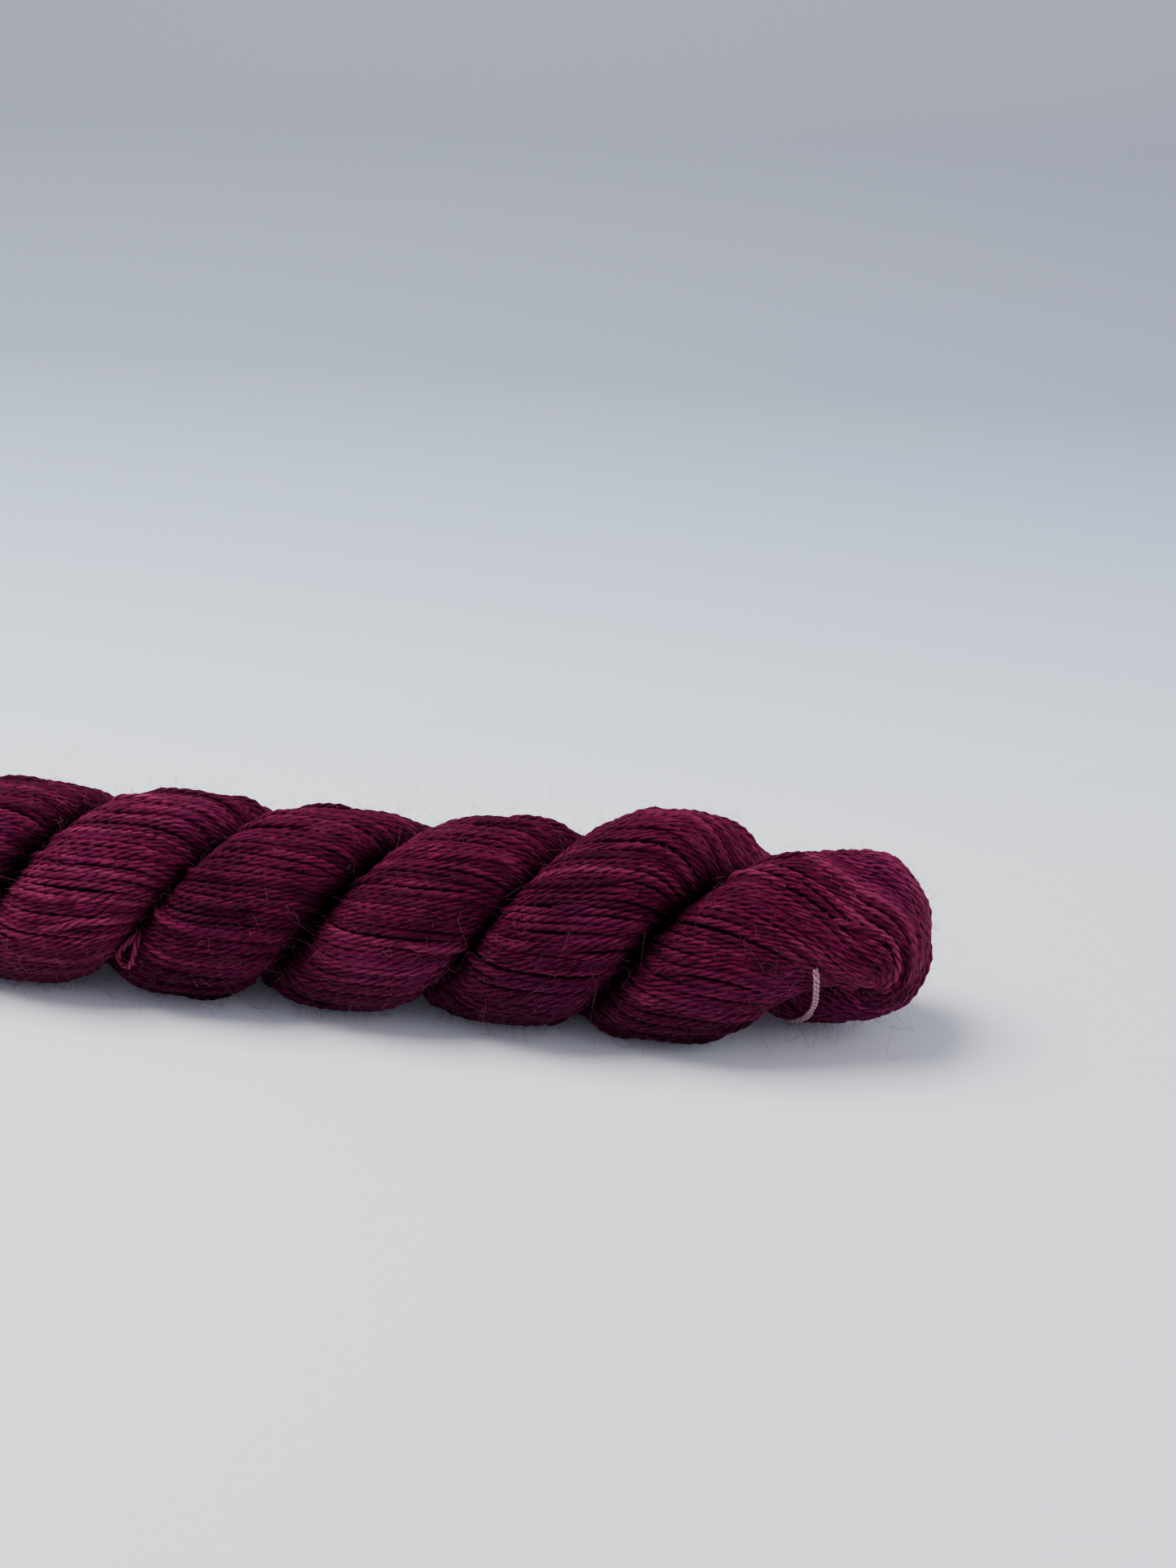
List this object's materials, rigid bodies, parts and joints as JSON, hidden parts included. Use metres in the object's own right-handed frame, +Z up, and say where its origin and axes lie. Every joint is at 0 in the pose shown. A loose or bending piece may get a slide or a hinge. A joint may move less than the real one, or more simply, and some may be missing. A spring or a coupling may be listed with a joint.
{
  "type": "twisted yarn hank",
  "caption": "Hank of fine plied mohair yarn, twisted and folded on itself into a thick two-ply rope with rounded fold ends, lying on its side, with a thread skein tie near one end.",
  "frame": {"origin": "bottom centre of the bounding box, on the table under the hank", "axes": "+Z up from the table, +X along the hank towards the fold end that has the skein tie, -Y towards the viewer of the picture"},
  "size_m": [0.2762, 0.0558, 0.0522],
  "materials": {
    "burgundy_yarn": "soft plied mohair yarn, hand-dyed burgundy with darker and redder stretches, low sheen and a fine halo of fibres",
    "tie_thread": "matt doubled cotton thread, dusty pink"
  },
  "bodies": {
    "root": {"hank": "burgundy_yarn", "skein_tie": "tie_thread"}
  },
  "joints": []
}
